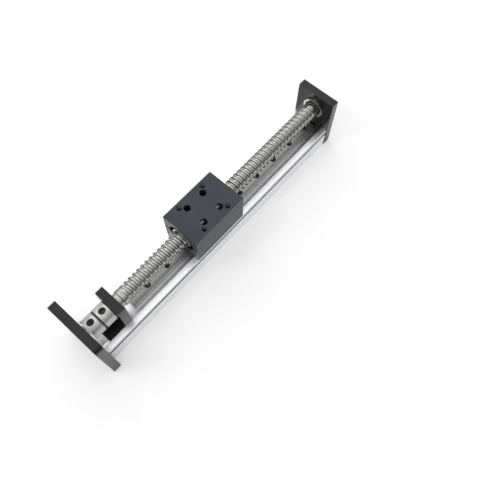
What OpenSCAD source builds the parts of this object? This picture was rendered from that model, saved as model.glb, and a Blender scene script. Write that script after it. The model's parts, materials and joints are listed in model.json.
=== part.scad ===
// Ball screw linear module: an aluminium channel base with one guide rail, a ball screw
// between two bearings, and a carriage that the ball nut moves. X runs along the screw,
// from the motor plate to the end plate. The origin is under the middle of the base.

/* [Base] */
// Length of the base extrusion
base_l = 300; // [260:5:700]
// Thickness of the channel's floor
floor_t = 12; // [11:0.5:20]
// Thickness of each side wall
wall_t = 6; // [5:0.5:12]
// Height of the groove along each outer side
side_groove_h = 5; // [2:0.5:6]
// Depth of that groove
side_groove_d = 1; // [0.5:0.1:2]
// Radius of the upper outer edges
edge_r = 0.8; // [0.4:0.1:1]
// Width of the shallow relief under the base
relief_w = 14; // [8:1:15]
// Depth of that relief
relief_d = 0.6; // [0.3:0.1:1]
// Distance between the mounting holes along the base
foot_pitch_x = 200; // [100:10:220]
// Distance between the mounting holes across the base
foot_pitch_y = 24; // [24:1:26]
// Tapping diameter of the mounting holes
foot_hole_d = 4.2; // [3.3:0.1:5]
// Depth of the mounting holes
foot_hole_l = 8; // [5:0.5:9]

/* [Plates] */
// Thickness of the motor plate and the end plate
plate_t = 8; // [7:0.5:14]
// Side of the motor's square flange
motor_face = 57; // [56:0.5:60]
// Distance that the end plate stands up above the carriage
end_plate_up = 2; // [0:0.5:10]
// Distance that each side of the end plate stands out from the base
end_plate_out = 0.5; // [0:0.1:3]
// Corner radius of the motor plate
plate_r = 5; // [1:0.5:5]
// Diameter of the motor's pilot bore
pilot_d = 38.1; // [30:0.1:40]
// Distance between the motor bolts, both ways
motor_bolt_pitch = 47.14; // [46:0.01:48]
// Diameter of the motor bolt holes
motor_bolt_d = 5.2; // [4.2:0.1:5.5]
// Distance from the middle to the inner plate screws
plate_screw_in = 6; // [5:0.5:7]
// Distance from the middle to the outer plate screws
plate_screw_out = 15; // [14:0.5:16]
// Length of the plate screws under the head
plate_screw_l = 12; // [10:1:13]

/* [Guide] */
// Width of the rail
rail_w = 12; // [12:0.5:14]
// Height of the rail
rail_h = 8; // [7.5:0.5:8.5]
// Distance from the motor plate to the rail
rail_start = 43.5; // [43:0.5:46]
// Gap between the rail and the end plate
rail_end_gap = 1; // [0.5:0.5:5]
// Distance from the rail's end to its first screw
rail_first = 21.2; // [6:0.1:25]
// Distance between the rail screws
rail_pitch = 25; // [15:1:60]
// Width of the guide block
block_w = 27; // [27:0.5:30]
// Length of the guide block with its end caps
block_l = 45.4; // [40:0.2:55]
// Height of the guide block's top above the channel floor
block_h = 13; // [12.5:0.5:16]
// Height of the guide block's underside above the channel floor
block_lift = 3; // [2:0.5:4]
// Length of each end cap with its seal
cap_l = 6.4; // [4:0.2:7]
// Distance between the guide block's screws, both ways
block_pitch = 20; // [18:0.5:20]
// Diameter of the guide block's balls
guide_ball_d = 2.2; // [1.8:0.1:2.4]

/* [Screw] */
// Outer diameter of the screw
screw_d = 16; // [14:0.5:16]
// Lead of the screw
lead = 5; // [4.5:0.25:8]
// Diameter of the nut's balls
ball_d = 2.9; // [2.4:0.1:3]
// Diameter of the plain collar beside the bracket
collar_d = 14.5; // [12.5:0.5:15]
// Length of that collar
collar_l = 4; // [2:0.5:6]
// Diameter of the bearing journals
journal_d = 8; // [8:0.5:9]
// Length of the shoulder at the far end
shoulder_l = 3; // [2:0.5:6]
// Straight pieces that one turn of the thread is drawn with
turn_steps = 16; // [12:2:20]

/* [Bearings] */
// Outer diameter of each bearing
bearing_d = 22; // [21.5:0.5:24]
// Width of each bearing
bearing_w = 7; // [6.5:0.5:7]
// Distance that the far bearing stands out of the end plate
bearing_proud = 2; // [1:0.5:3]
// Balls in each bearing
bearing_balls = 7; // [6:1:7]

/* [Bearing bracket] */
// Distance from the motor plate to the bracket's upright
bracket_x = 25.7; // [25.7:0.1:29]
// Thickness of the upright
bracket_t = 8; // [8:0.5:9]
// Wall above the bearing
bracket_wall = 2.5; // [2:0.5:6]
// Length of the foot in front of the upright
foot_l = 18.2; // [17:0.2:20]
// Height of the foot
foot_h = 10; // [8:0.5:14]

/* [Coupling] */
// Outer diameter of the coupling
coupling_d = 20; // [18:0.5:24]
// Length of the coupling
coupling_l = 24.3; // [20:0.1:24.3]
// Thickness of the disc between the hubs
disc_t = 1.2; // [0.8:0.1:2]
// Width of the keys on the disc
key_w = 4; // [3:0.5:5]
// Diameter of the set screws
set_screw_d = 6; // [4:0.5:6]
// Diameter of the motor's shaft
motor_shaft_d = 6.35; // [5:0.05:7.5]

/* [Carriage] */
// Length of the carriage block
car_l = 60; // [56:1:90]
// Distance that the carriage's sides stand in from the base's sides
car_side_in = 0; // [-5:0.1:1]
// Distance from the motor plate to the carriage's middle, at rest
car_at = 141.6; // [90:1:180]
// Outer diameter of the ball nut
nut_d = 28; // [26:0.5:30]
// Length of the ball nut
nut_l = 50; // [44:1:55]
// Outer diameter of the nut's two necks, which end level with the carriage's faces
nut_neck_d = 21; // [20:0.5:23]
// Wall under the nut
nut_floor = 5; // [5:0.5:8]
// Wall over the nut
nut_roof = 2; // [1.5:0.5:8]
// Height of the clamp slits beside the nut
slit_h = 2; // [0.5:0.1:3]
// Wall left between each slit and the side
slit_web = 0.7; // [0.6:0.1:2]
// Diameter of the holes over the guide block's screws
access_d = 6.5; // [6:0.1:7.5]
// Distance between the load holes along the carriage
load_pitch_x = 30; // [28:1:40]
// Distance between the load holes across the carriage
load_pitch_y = 30; // [30:1:32]
// Tapping diameter of the load holes
load_hole_d = 4.2; // [3.3:0.1:4.6]
// Depth of the load holes
load_hole_l = 9; // [4:0.5:10]

/* [Hidden] */
$fn = 48;

// Clearances
side_gap = 0.5;      // guide block to channel wall
over_gap = 1;        // carriage to the wall tops
run_gap = 0.3;       // between parts that pass each other
ball_gap = 0.35;     // ball to screw groove
race_gap = 0.05;     // ball to the race that carries it
roll_gap = 0.1;      // bearing ball to its races
seat_gap = 0.1;      // bracket to channel wall
socket_gap = 0.25;   // screw head to its counterbore
slack = 0.2;         // plain hole around a screw shank
cut = 1;             // how far a cut runs past a face

// Levels, upwards from the base's underside
channel_w = block_w + 2 * side_gap;
base_w = channel_w + 2 * wall_t;
block_top = floor_t + block_h;
base_h = block_top - over_gap;
car_w = base_w - 2 * car_side_in;
nut_r = nut_d / 2;
axis_z = block_top + nut_floor + nut_r;
car_h = nut_floor + nut_d + nut_roof;
car_top = block_top + car_h;

// Places along X
near_x = -base_l / 2;
far_x = base_l / 2;
bracket_near = near_x + bracket_x;
bracket_far = bracket_near + bracket_t;
lip_t = bracket_t - bearing_w - 0.2;
fixed_x = bracket_near + lip_t;
float_x = far_x - bearing_proud;
thread_x0 = fixed_x + bearing_w + collar_l;
thread_x1 = float_x - shoulder_l;
car_x = near_x + car_at;
coupling_x1 = bracket_near - run_gap;
coupling_x0 = coupling_x1 - coupling_l;
hub_l = (coupling_l - disc_t) / 2;
disc_x = coupling_x0 + hub_l;
key_l = 1.5;
key_gap = 0.1;
rail_x0 = near_x + rail_start;
rail_l = base_l - rail_start - rail_end_gap;
rail_end_wall = 5;
rail_count = floor((rail_l - rail_first - rail_end_wall) / rail_pitch) + 1;
rail_screw_xs = [for (k = [0 : rail_count - 1]) rail_x0 + rail_first + k * rail_pitch];

// Metric cap screws: [thread, head diameter, head height, hexagon across flats]
M3 = [3, 5.5, 3, 2.5];
M4 = [4, 7, 4, 3];

// A cylinder along +X that starts at x
module along_x(x, r, l) {
  translate([x, 0, 0]) rotate([0, 90, 0]) cylinder(r = r, h = l);
}

// Rings turned about the X axis: the profile's points are [radius, x]
module turned(profile) {
  rotate([0, 90, 0]) rotate_extrude() polygon(profile);
}

// A socket head cap screw along +Z, with its head's underside at z = 0
module cap_screw(size, l) {
  flats_to_corners = 2 / sqrt(3);
  bevel = 0.3;
  head_r = size[1] / 2;
  socket_l = size[2] * 0.6;
  difference() {
    union() {
      translate([0, 0, -l]) cylinder(d = size[0], h = l);
      cylinder(r = head_r, h = size[2] - bevel);
      translate([0, 0, size[2] - bevel]) cylinder(r1 = head_r, r2 = head_r - bevel, h = bevel);
    }
    translate([0, 0, size[2] - socket_l])
      cylinder(d = size[3] * flats_to_corners, h = socket_l + cut, $fn = 6);
  }
}

// ---- Base -------------------------------------------------------------------------

counterbore_l = M4[2] + 0.4;
plate_screw_z = floor_t / 2;
plate_screw_ys = [-plate_screw_out, -plate_screw_in, plate_screw_in, plate_screw_out];
plate_grip = plate_t - counterbore_l;
bracket_screw_from_end = 6.5;
bracket_screw_pitch = 9;
bracket_screw_xs = [0, bracket_screw_pitch] + [1, 1] * (bracket_near - foot_l + bracket_screw_from_end);
bracket_screw_y = 8;
bracket_thread_l = 7;
rail_screw_l = 8;
rail_head_depth = 4.5;

// The channel's cross-section, with y to the right and z upwards
module channel_profile() {
  groove_top = base_h - 2;
  seat_relief = [1.2, 0.5];
  difference() {
    translate([-base_w / 2, 0]) square([base_w, base_h]);
    translate([-channel_w / 2, floor_t]) square([channel_w, base_h]);
    translate([-relief_w / 2, -cut]) square([relief_w, relief_d + cut]);
    for (side = [-1, 1]) {
      translate([side * base_w / 2, groove_top - side_groove_h / 2])
        square([2 * side_groove_d, side_groove_h], center = true);
      translate([side * (rail_w + seat_relief[0]) / 2, floor_t])
        square([seat_relief[0], 2 * seat_relief[1]], center = true);
      translate([side * base_w / 2, base_h])
        difference() {
          square(2 * edge_r, center = true);
          translate([-side * edge_r, -edge_r]) circle(edge_r);
        }
    }
  }
}

module base_extrusion() {
  color([0.86, 0.87, 0.88])
    difference() {
      translate([near_x, 0, 0]) rotate([90, 0, 90]) linear_extrude(base_l) channel_profile();
      for (x = rail_screw_xs)
        translate([x, 0, floor_t + rail_h - rail_head_depth - rail_screw_l])
          cylinder(d = M3[0], h = rail_screw_l);
      for (y = plate_screw_ys) {
        translate([0, y, plate_screw_z]) along_x(near_x - cut, M4[0] / 2, plate_screw_l - plate_grip + cut);
        translate([0, y, plate_screw_z])
          along_x(far_x - plate_screw_l + plate_grip, M4[0] / 2, plate_screw_l - plate_grip + cut);
      }
      for (x = bracket_screw_xs, y = [-bracket_screw_y, bracket_screw_y]) {
        translate([x, y, -cut]) cylinder(d = M4[0] + 2 * slack, h = floor_t + 2 * cut);
        translate([x, y, -cut]) cylinder(d = M4[1] + 2 * socket_gap, h = counterbore_l + cut);
      }
      for (x = [-0.5, 0.5] * foot_pitch_x, y = [-0.5, 0.5] * foot_pitch_y)
        translate([x, y, -cut]) cylinder(d = foot_hole_d, h = foot_hole_l + cut);
    }
}

// ---- Plates -----------------------------------------------------------------------

// Counterbored holes for the screws that hold a plate on the base, heads towards -X
module plate_screw_holes(x) {
  for (y = plate_screw_ys) translate([0, y, plate_screw_z]) {
    along_x(x - cut, M4[0] / 2 + slack, plate_t + 2 * cut);
    along_x(x - cut, M4[1] / 2 + socket_gap, counterbore_l + cut);
  }
}

module motor_plate() {
  top = axis_z + motor_face / 2;
  half = motor_face / 2;
  color([0.13, 0.13, 0.14])
    difference() {
      translate([near_x - plate_t, 0, 0]) rotate([90, 0, 90]) linear_extrude(plate_t)
        difference() {
          translate([-half, 0]) square([motor_face, top]);
          for (side = [-1, 1]) translate([side * half, top])
            difference() {
              square(2 * plate_r, center = true);
              translate([-side * plate_r, -plate_r]) circle(plate_r);
            }
        }
      translate([0, 0, axis_z]) along_x(near_x - plate_t - cut, pilot_d / 2, plate_t + 2 * cut);
      for (y = [-0.5, 0.5] * motor_bolt_pitch, z = [-0.5, 0.5] * motor_bolt_pitch)
        translate([0, y, axis_z + z]) along_x(near_x - plate_t - cut, motor_bolt_d / 2, plate_t + 2 * cut);
      plate_screw_holes(near_x - plate_t);
    }
}

module end_plate() {
  pocket_l = bearing_w - bearing_proud;
  width = base_w + 2 * end_plate_out;
  color([0.13, 0.13, 0.14])
    difference() {
      translate([far_x, -width / 2, 0]) cube([plate_t, width, car_top + end_plate_up]);
      translate([0, 0, axis_z]) {
        along_x(far_x - cut, bearing_d / 2, pocket_l + cut);
        along_x(far_x, journal_d, plate_t + cut);
      }
      mirror([1, 0, 0]) plate_screw_holes(-far_x - plate_t);
    }
}

module motor_plate_screws() {
  color([0.09, 0.09, 0.1])
    for (y = plate_screw_ys) translate([near_x - plate_grip, y, plate_screw_z])
      rotate([0, -90, 0]) cap_screw(M4, plate_screw_l);
}

module end_plate_screws() {
  color([0.09, 0.09, 0.1])
    for (y = plate_screw_ys) translate([far_x + plate_grip, y, plate_screw_z])
      rotate([0, 90, 0]) cap_screw(M4, plate_screw_l);
}

// ---- Bearing bracket --------------------------------------------------------------

module bearing_bracket() {
  width = channel_w - 2 * seat_gap;
  height = axis_z + bearing_d / 2 + bracket_wall - floor_t;
  lip_r = bearing_d / 2 - 2;
  color([0.12, 0.12, 0.13])
    difference() {
      union() {
        translate([bracket_near, -width / 2, floor_t]) cube([bracket_t, width, height]);
        translate([bracket_near - foot_l, -width / 2, floor_t]) cube([foot_l, width, foot_h]);
      }
      translate([0, 0, axis_z]) {
        along_x(fixed_x, bearing_d / 2, bracket_t);
        along_x(bracket_near - cut, lip_r, bracket_t);
      }
      for (x = bracket_screw_xs, y = [-bracket_screw_y, bracket_screw_y])
        translate([x, y, floor_t - cut]) cylinder(d = M4[0], h = bracket_thread_l + cut);
    }
}

module bracket_screws() {
  color([0.09, 0.09, 0.1])
    for (x = bracket_screw_xs, y = [-bracket_screw_y, bracket_screw_y])
      translate([x, y, counterbore_l]) rotate([180, 0, 0])
        cap_screw(M4, floor_t - counterbore_l + bracket_thread_l);
}

// ---- Bearings ---------------------------------------------------------------------

bearing_pcd_r = (journal_d + bearing_d) / 4;
bearing_ball_r = 1.9;
bearing_race_r = bearing_ball_r + roll_gap;
outer_land_r = bearing_pcd_r + 1.2;
inner_land_r = bearing_pcd_r - 1.3;
shield_t = 0.3;
shield_inset = 0.5;
cage_t = 0.8;
cage_w = 4.6;

// The torus that both rings' races are cut from, about the middle of a bearing at x
module bearing_race(x) {
  translate([x + bearing_w / 2, 0, axis_z]) rotate([0, 90, 0])
    rotate_extrude() translate([bearing_pcd_r, 0]) circle(bearing_race_r);
}

module outer_ring(x) {
  color([0.72, 0.73, 0.74])
    difference() {
      translate([0, 0, axis_z]) along_x(x, bearing_d / 2, bearing_w);
      translate([0, 0, axis_z]) along_x(x - cut, outer_land_r, bearing_w + 2 * cut);
      bearing_race(x);
    }
}

module inner_ring(x) {
  color([0.7, 0.71, 0.72])
    difference() {
      translate([0, 0, axis_z]) along_x(x, inner_land_r, bearing_w);
      translate([0, 0, axis_z]) along_x(x - cut, journal_d / 2, bearing_w + 2 * cut);
      bearing_race(x);
    }
}

// What stands at each ball's place, in a bearing at x
module at_bearing_balls(x) {
  for (k = [0 : bearing_balls - 1])
    translate([x + bearing_w / 2, 0, axis_z]) rotate([k * 360 / bearing_balls, 0, 0])
      translate([0, bearing_pcd_r, 0]) children();
}

module bearing_ball_set(x) {
  color([0.8, 0.81, 0.82]) at_bearing_balls(x) sphere(bearing_ball_r);
}

module bearing_cage(x) {
  color([0.55, 0.5, 0.38])
    difference() {
      translate([0, 0, axis_z]) along_x(x + (bearing_w - cage_w) / 2, bearing_pcd_r + cage_t / 2, cage_w);
      translate([0, 0, axis_z]) along_x(x, bearing_pcd_r - cage_t / 2, bearing_w);
      at_bearing_balls(x) rotate([90, 0, 0])
        cylinder(r = bearing_ball_r + race_gap, h = 2 * cage_t, center = true);
    }
}

module bearing_shields(x) {
  color([0.6, 0.61, 0.62])
    for (inset = [shield_inset, bearing_w - shield_inset - shield_t])
      difference() {
        translate([0, 0, axis_z]) along_x(x + inset, outer_land_r, shield_t);
        translate([0, 0, axis_z]) along_x(x + inset - cut, inner_land_r + run_gap, shield_t + 2 * cut);
      }
}

module fixed_bearing_outer_ring() { outer_ring(fixed_x); }
module fixed_bearing_inner_ring() { inner_ring(fixed_x); }
module fixed_bearing_balls() { bearing_ball_set(fixed_x); }
module fixed_bearing_cage() { bearing_cage(fixed_x); }
module fixed_bearing_shields() { bearing_shields(fixed_x); }
module float_bearing_outer_ring() { outer_ring(float_x); }
module float_bearing_inner_ring() { inner_ring(float_x); }
module float_bearing_balls() { bearing_ball_set(float_x); }
module float_bearing_cage() { bearing_cage(float_x); }
module float_bearing_shields() { bearing_shields(float_x); }

// ---- Ball screw -------------------------------------------------------------------

// The balls' centres run on ball_path_r. The groove is round about them, and the profile
// of one lead is the flat crest, then the groove's wall, floor and other wall, as
// [distance along X, radius].
screw_r = screw_d / 2;
ball_path_r = screw_r + 0.25;
groove_r = ball_d / 2 + ball_gap;
groove_half = sqrt(pow(groove_r, 2) - pow(ball_path_r - screw_r, 2));
crest_l = lead - 2 * groove_half;
groove_at = crest_l + groove_half;
wall_angle = 42;
thread_profile = concat([[0, screw_r], [crest_l, screw_r]],
  [for (a = [-wall_angle, 0, wall_angle]) [groove_at + groove_r * sin(a), ball_path_r - groove_r * cos(a)]]);

// The thread is drawn as columns of points parallel to the axis, one for each step of a
// turn. Each column goes on where the one before it left off, and the last meets the
// first one lead further on. The groove fades in and out over half a turn.
steps = turn_steps;
points_a_lead = len(thread_profile);
end_land = 0.8;
turns = floor((thread_x1 - thread_x0 - 2 * end_land) / lead) - 1;
helix_l = lead * (turns + 1 - 1 / steps);
helix_x0 = (thread_x0 + thread_x1 - helix_l) / 2;
column = points_a_lead * turns + 1;
last_step = steps * turns - 1;
fade_steps = steps / 2;

function fade(i) = min(1, i / fade_steps, (last_step - i) / fade_steps);
function thread_point(a, q) =
  let (turn = floor(q / points_a_lead), p = thread_profile[q % points_a_lead],
       r = screw_r - (screw_r - p[1]) * max(0, fade(a + steps * turn)),
       angle = 360 * a / steps)
  [helix_x0 + lead * (turn + a / steps) + p[0], r * cos(angle), r * sin(angle)];
function end_point(a, x) = [x, screw_r * cos(360 * a / steps), screw_r * sin(360 * a / steps)];
function at(a, q) = a * (column + 2) + 1 + q;

thread_points = [for (a = [0 : steps - 1])
  each concat([end_point(a, thread_x0)], [for (q = [0 : column - 1]) thread_point(a, q)],
    [end_point(a, thread_x1)])];
thread_faces = concat(
  [[for (a = [0 : steps - 1]) at(a, -1)], [for (a = [steps - 1 : -1 : 0]) at(a, column)]],
  [for (a = [0 : steps - 2], q = [-1 : column - 1], half = [0, 1])
    half == 0 ? [at(a, q), at(a, q + 1), at(a + 1, q + 1)] : [at(a, q), at(a + 1, q + 1), at(a + 1, q)]],
  [for (q = [0 : column - 2 - points_a_lead], half = [0, 1])
    let (a = steps - 1, w = q + points_a_lead)
    half == 0 ? [at(a, q), at(a, q + 1), at(0, w + 1)] : [at(a, q), at(0, w + 1), at(0, w)]],
  [[at(steps - 1, -1), at(steps - 1, 0), at(0, -1)]],
  [for (q = [points_a_lead : -1 : 0]) [at(steps - 1, 0), at(0, q), at(0, q - 1)]],
  [for (q = [column - 1 - points_a_lead : column - 1])
    [at(steps - 1, q), at(steps - 1, q + 1), at(0, column - 1)]],
  [[at(steps - 1, column), at(0, column), at(0, column - 1)]]);

journal_x0 = disc_x + disc_t + key_l + run_gap;
journal_x1 = far_x + plate_t - 1;
ring_x = float_x + bearing_w + 0.1;
ring_t = 0.8;
ring_groove_r = journal_d / 2 - 0.2;

module ball_screw() {
  chamfer = 0.5;
  overlap = 0.5;
  jr = journal_d / 2;
  cr = collar_d / 2;
  shoulder_r = jr + 2;
  color([0.75, 0.76, 0.77]) {
    translate([0, 0, axis_z]) polyhedron(points = thread_points, faces = thread_faces, convexity = 10);
    translate([0, 0, axis_z]) turned([[0, journal_x0], [jr - chamfer, journal_x0],
      [jr, journal_x0 + chamfer], [jr, fixed_x + bearing_w], [cr - chamfer, fixed_x + bearing_w],
      [cr, fixed_x + bearing_w + chamfer], [cr, thread_x0 + overlap], [0, thread_x0 + overlap]]);
    translate([0, 0, axis_z]) turned([[0, thread_x1 - overlap], [shoulder_r, thread_x1 - overlap],
      [shoulder_r, float_x], [jr, float_x], [jr, ring_x], [ring_groove_r, ring_x],
      [ring_groove_r, ring_x + ring_t], [jr, ring_x + ring_t], [jr, journal_x1 - chamfer],
      [jr - chamfer, journal_x1], [0, journal_x1]]);
  }
}

module shaft_spacer() {
  color([0.7, 0.71, 0.72])
    difference() {
      translate([0, 0, axis_z]) along_x(coupling_x1, inner_land_r - 0.4, fixed_x - coupling_x1);
      translate([0, 0, axis_z]) along_x(coupling_x1 - cut, journal_d / 2, fixed_x - coupling_x1 + 2 * cut);
    }
}

module shaft_retaining_ring() {
  outer_r = journal_d / 2 + 2;
  opening = journal_d * 0.6;
  color([0.25, 0.25, 0.26])
    difference() {
      translate([0, 0, axis_z]) along_x(ring_x, outer_r, ring_t);
      translate([0, 0, axis_z]) along_x(ring_x - cut, ring_groove_r, ring_t + 2 * cut);
      translate([ring_x - cut, -opening / 2, axis_z - 2 * outer_r])
        cube([ring_t + 2 * cut, opening, 2 * outer_r]);
    }
}

// ---- Coupling ---------------------------------------------------------------------

set_screw_sink = 1.2;
set_screw_gap = 0.05;

// A bar across the disc, along Y or along Z
module key(x, l, w, upright) {
  span = coupling_d - 3;
  translate([x, 0, axis_z]) rotate([upright ? 90 : 0, 0, 0])
    translate([0, -span / 2, -w / 2]) cube([l, span, w]);
}

// One hub from x to x + hub_l, with its slot at slot_x for the disc's key
module coupling_hub(x, shaft_d, slot_x, upright) {
  bevel = 0.6;
  mouth = 0.5;
  r = coupling_d / 2;
  color([0.82, 0.83, 0.84])
    difference() {
      translate([0, 0, axis_z]) turned([[0, x], [r - bevel, x], [r, x + bevel], [r, x + hub_l - bevel],
        [r - bevel, x + hub_l], [0, x + hub_l]]);
      translate([0, 0, axis_z]) along_x(x - cut, shaft_d / 2, hub_l + 2 * cut);
      key(slot_x, key_l + key_gap, key_w + 2 * key_gap, upright);
      translate([x + hub_l / 2, 0, axis_z]) {
        cylinder(d = set_screw_d, h = r + cut);
        translate([0, 0, r - mouth])
          cylinder(d1 = set_screw_d, d2 = set_screw_d + 2 * (mouth + cut), h = mouth + cut);
      }
    }
}

module coupling_motor_hub() { coupling_hub(coupling_x0, motor_shaft_d, disc_x - key_l - key_gap, false); }
module coupling_screw_hub() { coupling_hub(disc_x + disc_t, journal_d, disc_x + disc_t, true); }

module coupling_disc() {
  color([0.05, 0.05, 0.05]) {
    difference() {
      union() {
        translate([0, 0, axis_z]) along_x(disc_x, coupling_d / 2 - 0.4, disc_t);
        key(disc_x - key_l, key_l + disc_t / 2, key_w, false);
        key(disc_x + disc_t / 2, key_l + disc_t / 2, key_w, true);
      }
      translate([0, 0, axis_z]) along_x(disc_x - key_l - cut,
        max(motor_shaft_d, journal_d) / 2 + run_gap, disc_t + 2 * key_l + 2 * cut);
    }
  }
}

// Each grips its shaft: the motor's under the first one, the screw's under the second
module coupling_set_screws() {
  socket_l = 2.2;
  color([0.09, 0.09, 0.1])
    for (hub = [[coupling_x0, motor_shaft_d], [disc_x + disc_t, journal_d]]) {
      tip_r = hub[1] / 2 + set_screw_gap;
      l = coupling_d / 2 - set_screw_sink - tip_r;
      translate([hub[0] + hub_l / 2, 0, axis_z + tip_r])
        difference() {
          cylinder(d = set_screw_d, h = l);
          translate([0, 0, l - socket_l]) cylinder(d = set_screw_d * 0.58, h = socket_l + cut, $fn = 6);
        }
    }
}

// ---- Guide rail and block ---------------------------------------------------------

guide_ball_r = guide_ball_d / 2;
guide_ball_y = rail_w / 2 + 0.6;
guide_ball_z = floor_t + 5;
block_x0 = car_x - block_l / 2;
seal_t = 1;

module rail_profile() {
  bevel = 0.5;
  w = rail_w / 2;
  difference() {
    polygon([[-w, 0], [w, 0], [w, rail_h - bevel], [w - bevel, rail_h], [bevel - w, rail_h],
      [-w, rail_h - bevel]]);
    for (side = [-1, 1])
      translate([side * guide_ball_y, guide_ball_z - floor_t]) circle(guide_ball_r + run_gap);
  }
}

module guide_rail() {
  top = floor_t + rail_h;
  color([0.6, 0.61, 0.62])
    difference() {
      translate([rail_x0, 0, floor_t]) rotate([90, 0, 90]) linear_extrude(rail_l) rail_profile();
      for (x = rail_screw_xs) {
        translate([x, 0, floor_t - cut]) cylinder(d = M3[0] + 2 * slack, h = rail_h + 2 * cut);
        translate([x, 0, top - rail_head_depth])
          cylinder(d = M3[1] + 2 * socket_gap, h = rail_head_depth + cut);
      }
    }
}

module rail_screws() {
  color([0.09, 0.09, 0.1])
    for (x = rail_screw_xs)
      translate([x, 0, floor_t + rail_h - rail_head_depth]) cap_screw(M3, rail_screw_l);
}

// A length of guide block: a saddle over the rail, with a given gap to it
module saddle(x, l, w, gap) {
  bevel = 0.8;
  half = w / 2;
  slot = rail_w / 2 + gap;
  slot_top = floor_t + rail_h + gap;
  foot = floor_t + block_lift;
  translate([x, 0, 0]) rotate([90, 0, 90]) linear_extrude(l)
    polygon([[-half, foot], [-slot, foot], [-slot, slot_top], [slot, slot_top], [slot, foot],
      [half, foot], [half, block_top - bevel], [half - bevel, block_top], [bevel - half, block_top],
      [-half, block_top - bevel]]);
}

block_screw_l = 3.5;
block_seat_t = 3;

module guide_block() {
  l = block_l - 2 * cap_l;
  color([0.62, 0.63, 0.64])
    difference() {
      saddle(car_x - l / 2, l, block_w, run_gap + 0.1);
      for (side = [-1, 1]) translate([0, side * guide_ball_y, guide_ball_z])
        along_x(car_x - l / 2 - cut, guide_ball_r + race_gap, l + 2 * cut);
      for (x = [-0.5, 0.5] * block_pitch, y = [-0.5, 0.5] * block_pitch)
        translate([car_x + x, y, block_top - block_screw_l]) cylinder(d = M3[0], h = block_screw_l + cut);
    }
}

module guide_block_end_caps() {
  inset = 0.3;
  color([0.1, 0.1, 0.11])
    for (x = [block_x0 + seal_t, block_x0 + block_l - cap_l])
      difference() {
        saddle(x, cap_l - seal_t, block_w - 2 * inset, run_gap + 0.2);
        translate([x - cut, -block_w, block_top - inset]) cube([cap_l + cut, 2 * block_w, cut]);
      }
}

module guide_block_seals() {
  inset = 0.6;
  color([0.35, 0.07, 0.06])
    for (x = [block_x0, block_x0 + block_l - seal_t])
      difference() {
        saddle(x, seal_t, block_w - 2 * inset, run_gap);
        translate([x - cut, -block_w, block_top - inset]) cube([seal_t + 2 * cut, 2 * block_w, cut]);
      }
}

module guide_block_balls() {
  l = block_l - 2 * cap_l;
  count = floor(l / (guide_ball_d + 0.15));
  color([0.8, 0.81, 0.82])
    for (k = [0 : count - 1], side = [-1, 1])
      translate([car_x + (k - (count - 1) / 2) * l / count, side * guide_ball_y, guide_ball_z])
        sphere(guide_ball_r);
}

module guide_block_screws() {
  color([0.09, 0.09, 0.1])
    for (x = [-0.5, 0.5] * block_pitch, y = [-0.5, 0.5] * block_pitch)
      translate([car_x + x, y, block_top + block_seat_t]) cap_screw(M3, block_seat_t + block_screw_l);
}

// ---- Carriage and ball nut --------------------------------------------------------

module carriage_block() {
  slit_z = axis_z - slit_h / 2;
  slit_w = car_w - 2 * slit_web;
  color([0.3, 0.31, 0.33])
    difference() {
      translate([car_x - car_l / 2, -car_w / 2, block_top]) cube([car_l, car_w, car_h]);
      translate([0, 0, axis_z]) along_x(car_x - car_l / 2 - cut, nut_r, car_l + 2 * cut);
      translate([car_x - car_l / 2 - cut, -slit_w / 2, slit_z]) cube([car_l + 2 * cut, slit_w, slit_h]);
      for (x = [-0.5, 0.5] * block_pitch, y = [-0.5, 0.5] * block_pitch) translate([car_x + x, y, 0]) {
        translate([0, 0, block_top - cut]) cylinder(d = M3[0] + 2 * slack, h = car_h);
        translate([0, 0, block_top + block_seat_t]) cylinder(d = access_d, h = car_h);
      }
      for (x = [-0.5, 0.5] * load_pitch_x, y = [-0.5, 0.5] * load_pitch_y)
        translate([car_x + x, y, car_top - load_hole_l]) cylinder(d = load_hole_d, h = load_hole_l + cut);
    }
}

nut_bore_r = screw_r + 0.5;
nut_x0 = car_x - nut_l / 2;
wiper_t = 3;
neck_r = nut_neck_d / 2;
neck_x0 = car_x - car_l / 2;
neck_x1 = car_x + car_l / 2;
wiper_r = neck_r - 1;
circuits = 3;
race_half = (circuits + 1) * lead / 2 + ball_d / 2 + run_gap;

module nut_deflector_cutters(gap) {
  length = 6;
  for (k = [0 : circuits - 1])
    translate([car_x + (k - (circuits - 1) / 2) * lead, 0, axis_z]) rotate([k * 120 + 45, 0, 0])
      translate([0, 0, nut_bore_r + 2]) cylinder(d = length + 2 * gap, h = nut_r);
}

module ball_nut() {
  bevel = 0.8;
  color([0.7, 0.71, 0.72])
    difference() {
      translate([0, 0, axis_z]) turned([[0, neck_x0], [neck_r - 0.3, neck_x0], [neck_r, neck_x0 + 0.3],
        [neck_r, nut_x0], [nut_r - bevel, nut_x0], [nut_r, nut_x0 + bevel],
        [nut_r, nut_x0 + nut_l - bevel], [nut_r - bevel, nut_x0 + nut_l], [neck_r, nut_x0 + nut_l],
        [neck_r, neck_x1 - 0.3], [neck_r - 0.3, neck_x1], [0, neck_x1]]);
      translate([0, 0, axis_z]) {
        along_x(neck_x0 - cut, nut_bore_r, car_l + 2 * cut);
        along_x(neck_x0 - cut, wiper_r, wiper_t + cut);
        along_x(neck_x1 - wiper_t, wiper_r, wiper_t + cut);
        along_x(car_x - race_half, ball_path_r + ball_d / 2 + race_gap, 2 * race_half);
      }
      nut_deflector_cutters(race_gap);
    }
}

module nut_wipers() {
  color([0.08, 0.08, 0.08])
    for (x = [neck_x0, neck_x1 - wiper_t])
      translate([0, 0, axis_z]) difference() {
        along_x(x, wiper_r, wiper_t);
        along_x(x - cut, screw_r + run_gap, wiper_t + 2 * cut);
      }
}

module nut_deflectors() {
  color([0.15, 0.16, 0.18])
    intersection() {
      nut_deflector_cutters(0);
      translate([0, 0, axis_z]) along_x(nut_x0, nut_r - 0.2, nut_l);
    }
}

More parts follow.
